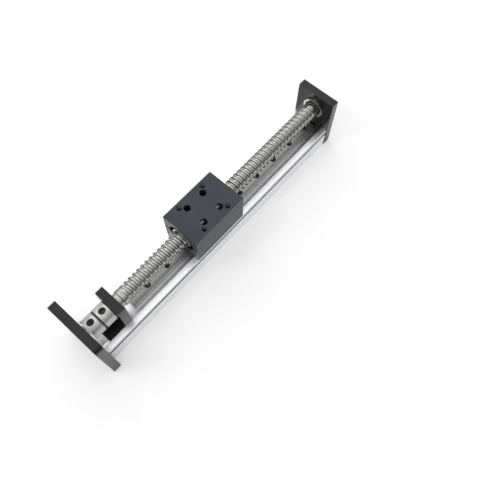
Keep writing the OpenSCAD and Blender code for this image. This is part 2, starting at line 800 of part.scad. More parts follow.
// The balls lie in the screw's groove, in one turn for each circuit
module nut_balls() {
  groove_x0 = helix_x0 + groove_at;
  first = round((car_x - circuits * lead / 2 - groove_x0) / lead);
  count = floor(2 * PI * ball_path_r / (ball_d + 0.3));
  color([0.8, 0.81, 0.82])
    for (turn = [0 : circuits - 1], k = [0 : count - 1])
      translate([groove_x0 + lead * (first + turn + k / count), 0, axis_z]) rotate([360 * k / count, 0, 0])
        translate([0, ball_path_r, 0]) sphere(ball_d / 2);
}

base_extrusion();
motor_plate();
end_plate();
bearing_bracket();
guide_rail();
rail_screws();
motor_plate_screws();
end_plate_screws();
bracket_screws();
fixed_bearing_outer_ring();
fixed_bearing_inner_ring();
fixed_bearing_balls();
fixed_bearing_cage();
fixed_bearing_shields();
float_bearing_outer_ring();
float_bearing_inner_ring();
float_bearing_balls();
float_bearing_cage();
float_bearing_shields();
ball_screw();
shaft_spacer();
shaft_retaining_ring();
coupling_motor_hub();
coupling_screw_hub();
coupling_disc();
coupling_set_screws();
carriage_block();
ball_nut();
nut_wipers();
nut_balls();
nut_deflectors();
guide_block();
guide_block_end_caps();
guide_block_seals();
guide_block_balls();
guide_block_screws();
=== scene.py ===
import json
import math

import bmesh
import bpy
import numpy as np
from mathutils import Matrix, Vector


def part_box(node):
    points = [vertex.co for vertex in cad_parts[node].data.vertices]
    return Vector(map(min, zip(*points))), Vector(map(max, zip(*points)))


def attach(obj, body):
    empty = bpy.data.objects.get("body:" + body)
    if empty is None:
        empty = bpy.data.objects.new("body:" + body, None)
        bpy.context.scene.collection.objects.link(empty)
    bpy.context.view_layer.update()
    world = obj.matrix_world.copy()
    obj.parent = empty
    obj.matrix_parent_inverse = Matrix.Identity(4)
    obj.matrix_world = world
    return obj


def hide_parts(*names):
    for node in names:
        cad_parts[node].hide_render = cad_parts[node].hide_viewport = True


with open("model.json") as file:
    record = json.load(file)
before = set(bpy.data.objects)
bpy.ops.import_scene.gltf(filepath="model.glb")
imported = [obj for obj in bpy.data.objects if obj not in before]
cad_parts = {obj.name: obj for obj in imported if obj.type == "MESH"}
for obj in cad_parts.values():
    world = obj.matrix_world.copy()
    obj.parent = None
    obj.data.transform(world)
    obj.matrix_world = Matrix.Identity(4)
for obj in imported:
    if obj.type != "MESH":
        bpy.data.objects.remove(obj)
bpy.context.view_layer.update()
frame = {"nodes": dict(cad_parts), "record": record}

# ---- Studio ----------------------------------------------------------------------------
# The module lies on a plain white floor, lit by a broad soft lamp beyond its far end and a
# smaller one high over the motor end. The air is pale overhead and grey towards the horizon.


def wire(tree, kind, settings=(), **inputs):
    """Adds a node. Its inputs, by name or by number as in _0, are values or links."""
    node = tree.nodes.new(kind)
    for key, value in dict(settings).items():
        setattr(node, key, value)
    for key, value in inputs.items():
        socket = node.inputs[int(key[1:]) if key[0] == "_" else key.replace("_", " ")]
        if isinstance(value, bpy.types.NodeSocket):
            tree.links.new(value, socket)
        else:
            socket.default_value = value
    return node


world = bpy.data.worlds.new("soft_room")
bpy.context.scene.world = world
world.use_nodes = True
air = world.node_tree
brightest_way = (-0.10, 0.20, 0.975)
horizon_grey, overhead_grey, blue_share = 0.11, 1.34, 1.01

direction = wire(air, "ShaderNodeTexCoord")
height = wire(air, "ShaderNodeVectorMath", {"operation": "DOT_PRODUCT"},
              _0=direction.outputs["Generated"], _1=brightest_way)
room = wire(air, "ShaderNodeValToRGB", _0=height.outputs["Value"])
for stop, grey in zip(room.color_ramp.elements, (horizon_grey, overhead_grey)):
    stop.color = (grey, grey, grey * blue_share, 1)
room_light = air.nodes["Background"]
air.links.new(room.outputs[0], room_light.inputs["Color"])
backdrop = wire(air, "ShaderNodeBackground", Color=(1, 1, 1, 1))
sight = wire(air, "ShaderNodeLightPath")
surround = wire(air, "ShaderNodeMixShader", _0=sight.outputs["Is Camera Ray"],
                _1=room_light.outputs[0], _2=backdrop.outputs[0])
air.links.new(surround.outputs[0], air.nodes["World Output"].inputs["Surface"])

bpy.context.scene.view_settings.view_transform = "Standard"


def add_lamp(name, place, size, power):
    """A soft rectangular lamp that points at the module."""
    lamp = bpy.data.lights.new(name, "AREA")
    lamp.shape = "RECTANGLE"
    lamp.size, lamp.size_y = size
    lamp.energy = power
    stand = bpy.data.objects.new(name, lamp)
    stand.location = place
    module_middle = Vector((0, 0, 0.02))
    aim = module_middle - Vector(place)
    stand.rotation_euler = aim.to_track_quat("-Z", "Y").to_euler()
    bpy.context.scene.collection.objects.link(stand)


add_lamp("broad_lamp", place=(0.55, 0.90, 0.80), size=(1.3, 1.0), power=3.2)
add_lamp("fill_lamp", place=(-0.62, 0.42, 1.05), size=(0.30, 0.30), power=1.6)

floor_reach = 9
floor_corners = [(x * floor_reach, y * floor_reach, 0)
                 for x, y in ((-1, -1), (1, -1), (1, 1), (-1, 1))]
floor_mesh = bpy.data.meshes.new("floor")
floor_mesh.from_pydata(floor_corners, [], [(0, 1, 2, 3)])
floor = bpy.data.objects.new("floor", floor_mesh)
bpy.context.scene.collection.objects.link(floor)

# The floor takes shadows as white paint does, and shines a little for the camera and in gloss
floor_paint = bpy.data.materials.new("white_floor")
floor_paint.use_nodes = True
tree = floor_paint.node_tree
tree.nodes.clear()
matt = wire(tree, "ShaderNodeBsdfDiffuse", Color=(0.99, 0.99, 0.99, 1))
bright = wire(tree, "ShaderNodeEmission", Color=(1, 1, 1, 1))
seen = wire(tree, "ShaderNodeLightPath")
shine = 0.0
for ray, share in (("Is Camera Ray", 0.36), ("Is Glossy Ray", 0.12), ("Is Transmission Ray", 0.12)):
    shine = wire(tree, "ShaderNodeMath", {"operation": "MULTIPLY_ADD"}, _0=seen.outputs[ray],
                 _1=share, _2=shine).outputs[0]
floor_mix = wire(tree, "ShaderNodeMixShader", _0=shine, _1=matt.outputs[0], _2=bright.outputs[0])
wire(tree, "ShaderNodeOutputMaterial", Surface=floor_mix.outputs[0])
floor_mesh.materials.append(floor_paint)

camera_data = bpy.data.cameras.new("camera")
camera_data.lens = 40.71
camera_data.sensor_width = 36
camera_data.clip_start = 0.01
camera = bpy.data.objects.new("camera", camera_data)
camera_place = (-0.15016, -0.16289, 0.48288)
sideways = Vector((0.66033, -0.75096, 0.00747))
upward = Vector((0.68714, 0.60825, 0.39711))
camera_turn = Matrix((sideways, upward, sideways.cross(upward))).transposed().to_4x4()
camera.matrix_world = Matrix.Translation(camera_place) @ camera_turn
bpy.context.scene.collection.objects.link(camera)
bpy.context.scene.camera = camera

# ---- Base extrusion --------------------------------------------------------------------
# The base is one length of extruded aluminium channel, bright anodised. The die leaves
# fine lines along it, and its cut edges are broken with a file.

mm = 0.001


def finished(mesh, name, body, finish, node=None, smooth_under=38):
    """Makes a mesh a smooth shaded piece that rides on its body, in place of its solid."""
    for polygon in mesh.polygons:
        polygon.use_smooth = True
    mesh.set_sharp_from_angle(angle=math.radians(smooth_under))
    mesh.materials.append(finish)
    piece = bpy.data.objects.new(name, mesh)
    bpy.context.scene.collection.objects.link(piece)
    flats = piece.modifiers.new("flat_faces", "WEIGHTED_NORMAL")
    flats.keep_sharp = True
    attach(piece, body)
    if node:
        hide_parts(node)
    return piece


def welded_copy(node):
    """A solid's mesh to work on, with the corners that its triangles share made one."""
    shape = bmesh.new()
    shape.from_mesh(frame["nodes"][node].data)
    bmesh.ops.remove_doubles(shape, verts=shape.verts, dist=0.002 * mm)
    return shape


def countersink(shape, mouth):
    """Bevels the rim of a hole whose mouth is at a point of a flat top."""
    hole_reach, level, width = 3 * mm, 0.01 * mm, 0.5 * mm
    rim = [e for e in shape.edges
           if all((v.co - mouth).length < hole_reach and abs(v.co.z - mouth.z) < level
                  for v in e.verts)]
    bmesh.ops.bevel(shape, geom=rim, offset=width, offset_type="OFFSET", segments=1,
                    profile=0.5, affect="EDGES")


def softened(node, name, body, finish, width, sinks=()):
    """A copy of a solid with its outer edges rounded to a width, in place of the solid. The
    holes whose mouths are at sinks are countersunk."""
    flat_under, sharp_over = math.radians(0.5), math.radians(28)
    shape = welded_copy(node)
    bmesh.ops.dissolve_limit(shape, angle_limit=flat_under, use_dissolve_boundaries=False,
                             verts=shape.verts, edges=shape.edges, delimit=set())
    for mouth in sinks:
        countersink(shape, mouth)
    corners = [e for e in shape.edges
               if e.is_manifold and e.calc_face_angle_signed(0) > sharp_over]
    rounded = set()
    if corners:
        made = bmesh.ops.bevel(shape, geom=corners, offset=width, offset_type="OFFSET",
                               segments=3, profile=0.5, affect="EDGES", clamp_overlap=True,
                               loop_slide=True)
        bmesh.ops.remove_doubles(shape, verts=shape.verts, dist=0.001 * mm)
        shape.faces.index_update()
        rounded = {f.index for f in made["faces"] if f.is_valid}
    mesh = bpy.data.meshes.new(name)
    shape.to_mesh(mesh)
    shape.free()
    # The rounded faces carry the mask for edge wear and painted sheen
    mark_faces(mesh, "worn_and_sheen_edge", lambda face: face.index in rounded)
    return finished(mesh, name, body, finish, node)


def mark_faces(mesh, label, chosen):
    """Gives a mesh a mask that is 1 on the chosen faces and 0 on the others."""
    mask = mesh.attributes.new(label, "FLOAT", "FACE")
    mask.data.foreach_set("value", [1.0 if chosen(face) else 0.0 for face in mesh.polygons])


def new_group(name, inputs, outputs):
    """An effect with named inputs and outputs, for use in several materials."""
    group = bpy.data.node_groups.new(name, "ShaderNodeTree")
    for label, value in inputs.items():
        socket = group.interface.new_socket(label, in_out="INPUT", socket_type="NodeSocketFloat")
        socket.default_value = value
    for label in outputs:
        group.interface.new_socket(label, in_out="OUTPUT", socket_type="NodeSocketFloat")
    return group, group.nodes.new("NodeGroupInput"), group.nodes.new("NodeGroupOutput")


# Lines that a die, a grinding wheel or a cutter leaves along X
drawn_lines, given, result = new_group("drawn_lines", {"Across": 2500.0, "Along": 6.0},
                                       ["Lines", "Bands"])
spot = wire(drawn_lines, "ShaderNodeTexCoord")
stretch = wire(drawn_lines, "ShaderNodeCombineXYZ", X=given.outputs["Along"],
               Y=given.outputs["Across"], Z=given.outputs["Across"])
pulled = wire(drawn_lines, "ShaderNodeVectorMath", {"operation": "MULTIPLY"},
              _0=spot.outputs["Object"], _1=stretch.outputs[0])
for label, scale, detail, roughness in (("Lines", 1.0, 5.0, 0.6), ("Bands", 0.12, 2.0, 0.5)):
    noise = wire(drawn_lines, "ShaderNodeTexNoise", Vector=pulled.outputs[0], Scale=scale,
                 Detail=detail, Roughness=roughness)
    drawn_lines.links.new(noise.outputs["Fac"], result.inputs[label])


def use(tree, group, **inputs):
    """Places an effect in a material with its own values."""
    node = tree.nodes.new("ShaderNodeGroup")
    node.node_tree = group
    for label, value in inputs.items():
        node.inputs[label].default_value = value
    return node


def between(tree, mask, low, high):
    """A value from low to high, over the range that a noise mask seldom leaves."""
    return wire(tree, "ShaderNodeMapRange", Value=mask, From_Min=0.3, From_Max=0.7,
                To_Min=low, To_Max=high).outputs[0]


def blend_colour(tree, mask, first, second):
    """A colour from first to second as the mask goes from 0 to 1."""
    mix = tree.nodes.new("ShaderNodeMix")
    mix.data_type = "RGBA"
    factor, colour_a, colour_b = mix.inputs[0], mix.inputs[6], mix.inputs[7]
    blended = mix.outputs[2]
    tree.links.new(mask, factor)
    for socket, colour in ((colour_a, first), (colour_b, second)):
        if isinstance(colour, bpy.types.NodeSocket):
            tree.links.new(colour, socket)
        else:
            socket.default_value = (*colour, 1)
    return blended


def shader_of(finish):
    return finish.node_tree.nodes["Principled BSDF"]


def lay_over(finish, mask, colour):
    """Lays a colour over a material's own one where a mask is 1."""
    base = shader_of(finish).inputs["Base Color"]
    own = base.links[0].from_socket
    finish.node_tree.links.new(blend_colour(finish.node_tree, mask, own, colour), base)


def face_mask(finish, label):
    """The mask that mark_faces gave to a piece's mesh."""
    mask = wire(finish.node_tree, "ShaderNodeAttribute", {"attribute_name": label})
    return mask.outputs["Fac"]


def new_finish(name, group, dark, light, gloss=None, depth=0.0, metallic=1.0, **marks):
    """A material marked by one effect. The broad marks go from a dark to a light colour, and
    the fine ones between two values of gloss, with a relief of some depth in metres."""
    finish = bpy.data.materials.new(name)
    finish.use_nodes = True
    tree, shader = finish.node_tree, shader_of(finish)
    shader.inputs["Metallic"].default_value = metallic
    fine, broad = use(tree, group, **marks).outputs
    tree.links.new(blend_colour(tree, between(tree, broad, 0, 1), dark, light),
                   shader.inputs["Base Color"])
    if gloss:
        tree.links.new(between(tree, fine, *gloss), shader.inputs["Roughness"])
    if depth:
        bump = wire(tree, "ShaderNodeBump", Height=fine, Strength=1.0, Distance=depth)
        tree.links.new(bump.outputs[0], shader.inputs["Normal"])
    return finish


bright_aluminium = new_finish(
    "bright_aluminium", drawn_lines, dark=(0.90, 0.905, 0.91), light=(0.97, 0.97, 0.975),
    gloss=(0.26, 0.38), depth=0.00003, Across=2600.0, Along=5.0)

# Painted shade: the groove along each side, under its lip, is coloured dark
lay_over(bright_aluminium, face_mask(bright_aluminium, "groove_shade"), (0.10, 0.10, 0.10))
groove_y, groove_z = (18.3 * mm, 19.3 * mm), (16.9 * mm, 22.1 * mm)

channel = softened("base_extrusion", "channel", "root", bright_aluminium,
                   0.25 * mm)
mark_faces(channel.data, "groove_shade",
           lambda face: groove_y[0] < abs(face.center.y) < groove_y[1]
           and groove_z[0] < face.center.z < groove_z[1])

# ---- Motor plate and end plate ---------------------------------------------------------
# Both plates are milled from aluminium and anodised black, with a satin skin. The motor
# plate takes the motor's flange and the end plate the far bearing.

# The fine grain of an anodised skin, and its faint clouds
anodised_grain, given, result = new_group("anodised_grain", {"Grain": 5000.0, "Clouds": 45.0},
                                          ["Grain", "Clouds"])
spot = wire(anodised_grain, "ShaderNodeTexCoord")
for label, detail in (("Grain", 2.0), ("Clouds", 4.0)):
    noise = wire(anodised_grain, "ShaderNodeTexNoise", Vector=spot.outputs["Object"],
                 Scale=given.outputs[label], Detail=detail)
    anodised_grain.links.new(noise.outputs["Fac"], result.inputs[label])

# How far an edge has been rubbed bright, with a painted sheen laid on it too: the rounded edges,
# broken up by small marks
edge_wear_and_sheen, given, result = new_group("edge_wear_and_sheen", {"Marks": 900.0, "Amount": 0.5}, ["Wear"])
on_edge = wire(edge_wear_and_sheen, "ShaderNodeAttribute", {"attribute_name": "worn_and_sheen_edge"})
spot = wire(edge_wear_and_sheen, "ShaderNodeTexCoord")
small = wire(edge_wear_and_sheen, "ShaderNodeTexNoise", Vector=spot.outputs["Object"],
             Scale=given.outputs["Marks"], Detail=3.0)
patches = wire(edge_wear_and_sheen, "ShaderNodeMapRange", Value=small.outputs["Fac"], From_Min=0.35,
            From_Max=0.65, To_Min=0.2, To_Max=1.0)
masked = wire(edge_wear_and_sheen, "ShaderNodeMath", {"operation": "MULTIPLY"}, _0=on_edge.outputs["Fac"],
              _1=patches.outputs[0])
wear_and_sheen = wire(edge_wear_and_sheen, "ShaderNodeMath", {"operation": "MULTIPLY"}, _0=masked.outputs[0],
            _1=given.outputs["Amount"])
edge_wear_and_sheen.links.new(wear_and_sheen.outputs[0], result.inputs["Wear"])


def rub_and_sheen_edges(finish, colour, **marks):
    """Lets a material's edges wear to another colour, which is partly a painted sheen."""
    lay_over(finish, use(finish.node_tree, edge_wear_and_sheen, **marks).outputs["Wear"], colour)


black_anodised = new_finish(
    "black_anodised", anodised_grain, dark=(0.004, 0.004, 0.0043), light=(0.007, 0.007, 0.0073),
    gloss=(0.21, 0.29), depth=0.00002, metallic=0.0, Grain=6000.0, Clouds=60.0)
shader_of(black_anodised).inputs["IOR"].default_value = 1.41
# Painted sheen and wear: the plates' rounded edges are coloured lighter
rub_and_sheen_edges(black_anodised, (0.16, 0.16, 0.165), Marks=700.0, Amount=0.35)

for node, name in (("motor_plate", "motor_end_plate"), ("end_plate", "far_end_plate")):
    softened(node, name, "root", black_anodised, 0.3 * mm)

# ---- Bearing bracket -------------------------------------------------------------------
# The bracket that holds the fixed bearing is milled from the same stock as the plates.
# Its foot is screwed down from under the channel.

softened("bearing_bracket", "fixed_end_bracket", "root", black_anodised,
         0.25 * mm)

# ---- Guide rail and its screws ---------------------------------------------------------
# The rail is hardened steel, ground along its length and screwed down in the channel with
# black cap screws. Each head sits below the top face, in a counterbore.

rail_steel = new_finish(
    "rail_steel", drawn_lines, dark=(0.35, 0.35, 0.345), light=(0.42, 0.42, 0.415),
    gloss=(0.30, 0.38), depth=0.00001, Across=4200.0, Along=14.0)
softened("guide_rail", "ground_rail", "root", rail_steel, 0.2 * mm)

black_screws = new_finish(
    "black_screws", anodised_grain, dark=(0.035, 0.035, 0.038), light=(0.060, 0.058, 0.056),
    gloss=(0.28, 0.42), Grain=9000.0, Clouds=400.0)

M3 = {"thread": 3, "pitch": 0.5, "head": 5.5, "height": 3, "flats": 2.5}


def stacked(levels, steps):
    """Rings of points about +Z, from levels of (height, radius), joined to each other and
    closed at both ends, in mm. A radius may be a function of turn and height."""
    points, faces = [], []
    for z, radius in levels:
        for k in range(steps):
            turn = 2 * math.pi * k / steps
            r = radius(turn, z) if callable(radius) else radius
            points.append((r * math.cos(turn), r * math.sin(turn), z))
    for i in range(len(levels) - 1):
        for k in range(steps):
            j = (k + 1) % steps
            faces.append((i * steps + k, i * steps + j, (i + 1) * steps + j, (i + 1) * steps + k))
    faces.append(tuple(range(steps))[::-1])
    faces.append(tuple((len(levels) - 1) * steps + k for k in range(steps)))
    return points, faces


def hexagon(flats):
    """The radius of a hexagon, from its width across flats."""
    return lambda turn, z: flats / 2 / math.cos((turn + math.pi / 6) % (math.pi / 3) - math.pi / 6)


def thread(radius, depth, pitch):
    """The radius of a cut thread, which climbs by its pitch in each turn."""
    return lambda turn, z: radius - depth * abs(2 * ((z / pitch - turn / (2 * math.pi)) % 1) - 1)


def climbing(start, stop, step, radius):
    """Levels from start until stop, a step apart."""
    levels, z = [], start
    while z < stop:
        levels.append((z, radius))
        z += step
    return levels


def shank(size, length):
    """A screw's threaded shank, from its bevelled tip up to z = 0."""
    r, pitch = size["thread"] / 2, size["pitch"]
    depth = 0.55 * pitch
    tip = [(-length, r - 1.6 * depth), (-length + 0.4, r - depth)]
    cut = climbing(-length + 0.6, -0.3, pitch / 4, thread(r, depth, pitch))
    return stacked(tip + cut + [(0, r - depth)], steps=24)


def cap_head(size):
    """A knurled cylinder head on z = 0, with a bevelled rim and a hexagon socket."""
    r, h, flats = size["head"] / 2, size["height"], size["flats"]
    deep, steps, knurl_depth = h * 0.6, 72, 0.14

    def knurl(turn, z):
        """Every other point of a ring is sunk."""
        return r - knurl_depth * (round(turn * steps / (2 * math.pi)) % 2)

    foot = [(0, r - 0.3), (0.25, knurl), (h - 0.6, knurl)]
    rim = [(h - 0.5, r - 0.16), (h - 0.3, r - 0.14), (h - 0.1, r - 0.25), (h, r - 0.5)]
    socket = [(h, flats * 0.64), (h - 0.2, hexagon(flats)), (h - deep, hexagon(flats)),
              (h - deep - 0.5, 0.1)]
    return stacked(foot + rim + socket, steps)


def joined(placed):
    """One mesh of several shapes in mm, each with its place in the row frame."""
    points, faces = [], []
    for (shape_points, shape_faces), place in placed:
        base = len(points)
        points += [place @ (Vector(p) * mm) for p in shape_points]
        faces += [tuple(i + base for i in face) for face in shape_faces]
    mesh = bpy.data.meshes.new("joined")
    mesh.from_pydata(points, [], faces)
    return mesh


def solids_of(node):
    """The lowest and highest corner of each separate solid of a node."""
    shape = welded_copy(node)
    left, boxes = set(shape.verts), []
    while left:
        found, waiting = set(), [left.pop()]
        while waiting:
            vertex = waiting.pop()
            found.add(vertex)
            for edge in vertex.link_edges:
                other = edge.other_vert(vertex)
                if other in left:
                    left.discard(other)
                    waiting.append(other)
        spots = np.array([v.co for v in found])
        boxes.append((Vector(spots.min(0)), Vector(spots.max(0))))
    shape.free()
    return sorted(boxes, key=lambda box: tuple(round(v, 4) for v in box[0]))


def add_cap_screws(node, name, body, size, up):
    """A node's cap screws, with their heads towards up, each where its solid is."""
    up = Vector(up)
    turn = Vector((0, 0, 1)).rotation_difference(up).to_matrix().to_4x4()
    placed = []
    for low, high in solids_of(node):
        whole = abs((high - low).dot(up))
        under_head = (low + high) / 2 + up * whole / 2 - up * size["height"] * mm
        place = Matrix.Translation(under_head) @ turn
        placed += [(shank(size, whole / mm - size["height"]), place), (cap_head(size), place)]
    finished(joined(placed), name, body, black_screws, node, smooth_under=30)


add_cap_screws("rail_screws", "rail_cap_screws", "root", M3, (0, 0, 1))

# ---- Screws of the plates and the bracket ----------------------------------------------
# Black oxide socket cap screws, four in each plate and four up into the bracket's foot.
# Every head is sunk, so that the motor and the machine bed lie flat.

M4 = {"thread": 4, "pitch": 0.7, "head": 7, "height": 4, "flats": 3}

add_cap_screws("motor_plate_screws", "motor_plate_cap_screws", "root", M4, (-1, 0, 0))
add_cap_screws("end_plate_screws", "end_plate_cap_screws", "root", M4, (1, 0, 0))
add_cap_screws("bracket_screws", "bracket_cap_screws", "root", M4, (0, 0, -1))

# ---- Tapped holes under the base -------------------------------------------------------
# Four blind holes take the machine's screws from below. Each has an M5 thread, seen as a
# fine helix on its wall.

M5_hole = {"radius": 2.1, "pitch": 0.8, "ridge": 0.24}


def hole_thread(size, depth):
    """The thread on the wall of a hole whose mouth is at z = 0: a coiled ridge, in mm. It
    starts a little way in, ends above the bottom, and rises and sinks over a third of a turn."""
    radius, pitch = size["radius"], size["pitch"]
    steps, rise_steps, mouth, bottom, in_wall = 24, 8, 0.4, 0.8, 0.04
    points, faces = [], []
    count = int((depth - bottom) / pitch * steps)
    for k in range(count + 1):
        turn, z = 2 * math.pi * k / steps, -mouth - pitch * k / steps
        crest = radius - (size["ridge"] * min(1, k / rise_steps, (count - k) / rise_steps) + 0.001)
        for r, dz in ((radius + in_wall, 0.42 * pitch), (crest, 0.06 * pitch),
                      (crest, -0.06 * pitch), (radius + in_wall, -0.42 * pitch)):
            points.append((r * math.cos(turn), r * math.sin(turn), z + dz))
    for k in range(count):
        for i in range(4):
            j = (i + 1) % 4
            faces.append((4 * k + i, 4 * k + j, 4 * k + 4 + j, 4 * k + 4 + i))
    faces += [(3, 2, 1, 0), tuple(4 * count + i for i in range(4))]
    return points, faces


def hole_places(name, turn):
    """Where the holes of a bolt pattern have their mouths, with +Z out of each."""
    mount = next(m for m in frame["record"]["mounts"] if m["name"] == name)
    dx, dy = (mount["dims"][spacing] / 2 * mm for spacing in ("spacing_x_mm", "spacing_y_mm"))
    return [Matrix.Translation(Vector(mount["pos_m"]) + Vector((i * dx, j * dy, 0))) @ turn
            for i in (-1, 1) for j in (-1, 1)]


upside_down = Matrix.Rotation(math.pi, 4, "X")
foot_holes = hole_places("base_bolts", upside_down)
finished(joined([(hole_thread(M5_hole, depth=8), place) for place in foot_holes]),
         "foot_hole_threads", "root", bright_aluminium)

# ---- Bearings --------------------------------------------------------------------------
# Two deep groove ball bearings carry the screw, one pressed into the bracket and one into the
# end plate. Each has ground steel rings, polished balls, a pressed cage and two rubber seals.

axis_z = 44 * mm

# Rings left by turning or grinding about the screw's axis, on round faces and on end faces
turned_marks, given, result = new_group("turned_marks", {"Marks": 9000.0}, ["Marks", "Bands"])
spot = wire(turned_marks, "ShaderNodeTexCoord")
centred = wire(turned_marks, "ShaderNodeVectorMath", {"operation": "SUBTRACT"},
               _0=spot.outputs["Object"], _1=(0, 0, axis_z))
apart = wire(turned_marks, "ShaderNodeSeparateXYZ", Vector=centred.outputs[0])
flat = wire(turned_marks, "ShaderNodeCombineXYZ", Y=apart.outputs["Y"], Z=apart.outputs["Z"])
reach = wire(turned_marks, "ShaderNodeVectorMath", {"operation": "LENGTH"}, _0=flat.outputs[0])
along = wire(turned_marks, "ShaderNodeMath", {"operation": "ADD"}, _0=reach.outputs["Value"],
             _1=apart.outputs["X"])
scaled = wire(turned_marks, "ShaderNodeMath", {"operation": "MULTIPLY"}, _0=along.outputs[0],
              _1=given.outputs["Marks"])
for label, scale, detail in (("Marks", 1.0, 3.0), ("Bands", 0.30, 2.0)):
    noise = wire(turned_marks, "ShaderNodeTexNoise", {"noise_dimensions": "1D"},
                 W=scaled.outputs[0], Scale=scale, Detail=detail)
    turned_marks.links.new(noise.outputs["Fac"], result.inputs[label])

ring_steel = new_finish(
    "ring_steel", turned_marks, dark=(0.30, 0.30, 0.295), light=(0.40, 0.40, 0.39),
    gloss=(0.20, 0.32), depth=0.000004, Marks=9000.0)
ball_steel = new_finish(
    "ball_steel", anodised_grain, dark=(0.70, 0.70, 0.71), light=(0.78, 0.78, 0.79),
    gloss=(0.05, 0.11), Grain=5000.0, Clouds=900.0)
brass_cage = new_finish(
    "brass_cage", anodised_grain, dark=(0.50, 0.38, 0.17), light=(0.62, 0.49, 0.24),
    gloss=(0.24, 0.38), Grain=7000.0, Clouds=500.0)
black_rubber = new_finish(
    "black_rubber", anodised_grain, dark=(0.010, 0.010, 0.010), light=(0.020, 0.020, 0.020),
    gloss=(0.45, 0.60), metallic=0.0, Grain=5000.0, Clouds=300.0)


def carry_over(node, finish):
    """Keeps a solid as it is and gives it its finish."""
    solid = frame["nodes"][node]
    solid.data.materials.clear()
    solid.data.materials.append(finish)


for end in ("fixed", "float"):
    for part, body in (("outer_ring", "root"), ("inner_ring", "screw")):
        softened(f"{end}_bearing_{part}", f"{end}_{part}_ground", body, ring_steel,
                 0.3 * mm)
    carry_over(f"{end}_bearing_balls", ball_steel)
    carry_over(f"{end}_bearing_cage", brass_cage)
    softened(f"{end}_bearing_shields", f"{end}_rubber_seals", "root",
             black_rubber, 0.1 * mm)

# ---- Ball screw ------------------------------------------------------------------------
# A right hand ball screw of hardened steel, 16 mm thick with a 5 mm lead. The round groove is
# ground into the bar, and its plain ends are turned down for the bearings and the coupling.

ground_steel = new_finish(
    "ground_steel", turned_marks, dark=(0.37, 0.37, 0.362), light=(0.46, 0.46, 0.45),
    gloss=(0.20, 0.30), depth=0.000006, Marks=7000.0)
shader_of(ground_steel).inputs["Specular Tint"].default_value = (0.55, 0.55, 0.54, 1)

# A fine dark line is coloured in at each edge of the crest
lay_over(ground_steel, face_mask(ground_steel, "crest_edge_line"), (0.03, 0.03, 0.029))

lead, crest_r = 5, 8
thread_x0, thread_x1, helix_x0 = -112.5, 145, -111.094
turns, steps = 50, 64
groove_r, groove_mid, ball_line = 1.62, 3.217, 8.25
fade = steps // 2
chamfer = 0.6

# One crest and one groove, as (distance along the screw, radius). The narrow bands between the
# crest and the groove are known by the number of the point that they start at.
crest = [(-0.2, 7.90), (-0.1, 7.97), (0.03, crest_r), (0.72, crest_r), (1.41, crest_r),
         (1.54, 7.97), (1.64, 7.90)]
groove = [(groove_mid + groove_r * math.sin(math.radians(a)),
           ball_line - groove_r * math.cos(math.radians(a)))
          for a in (-72, -58, -44, -30, -15, 0, 15, 30, 44, 58, 72)]
profile = crest + groove
crest_edge_bands = (0, 6, 7, 16, 17)

# Each column of points runs along the whole thread, and the next one is a step round the bar
near_lip = [(thread_x0, crest_r - chamfer), (thread_x0 + chamfer, crest_r)]
far_lip = [(thread_x1 - chamfer, crest_r), (thread_x1, crest_r - chamfer)]
shift = len(profile)
count = shift * turns + 1
tall = len(near_lip) + count + len(far_lip)
turned_points, turned_faces = [], []
for a in range(steps):
    c, s = math.cos(2 * math.pi * a / steps), math.sin(2 * math.pi * a / steps)
    column = list(near_lip)
    for q in range(count):
        turn, (u, r) = q // shift, profile[q % shift]
        i = a + steps * turn
        share = max(0.0, min(1.0, i / fade, (steps * turns - 1 - i) / fade))
        column.append((helix_x0 + lead * (turn + a / steps) + u, crest_r - (crest_r - r) * share))
    column += far_lip
    turned_points += [(x * mm, r * c * mm, axis_z + r * s * mm) for x, r in column]


def at(a, q):
    return a * tall + q


near_cap = [at(a, 0) for a in range(steps)]
far_cap = [at(a, tall - 1) for a in range(steps)]
turned_faces += [tuple(near_cap), tuple(far_cap[::-1])]
for a in range(steps - 1):
    for q in range(tall - 1):
        turned_faces.append((at(a, q), at(a, q + 1), at(a + 1, q + 1), at(a + 1, q)))

# The last column meets the first one a turn further on, with fans of triangles at the ends
last, end = steps - 1, count + 1
turned_faces.append((at(last, 0), at(last, 1), at(0, 1), at(0, 0)))
turned_faces.append((at(last, 1), at(last, 2), at(0, 1)))
turned_faces += [(at(last, 2), at(0, 2 + q), at(0, 1 + q)) for q in range(shift, -1, -1)]
for q in range(2, end - shift):
    turned_faces.append((at(last, q), at(last, q + 1), at(0, q + 1 + shift), at(0, q + shift)))
turned_faces += [(at(last, q), at(last, q + 1), at(0, end)) for q in range(end - shift, end)]
turned_faces.append((at(last, end), at(last, end + 1), at(0, end + 1), at(0, end)))
turned_faces.append((at(last, end + 1), at(last, end + 2), at(0, end + 2), at(0, end + 1)))


def add_turned(profile):
    """Adds a plain bar, turned from (x, radius) points in mm and closed at both ends."""
    base = len(turned_points)
    points, faces = stacked(profile, steps=96)
    turned_points.extend((z * mm, x * mm, axis_z + y * mm) for x, y, z in points)
    turned_faces.extend(tuple(i + base for i in face) for face in faces)


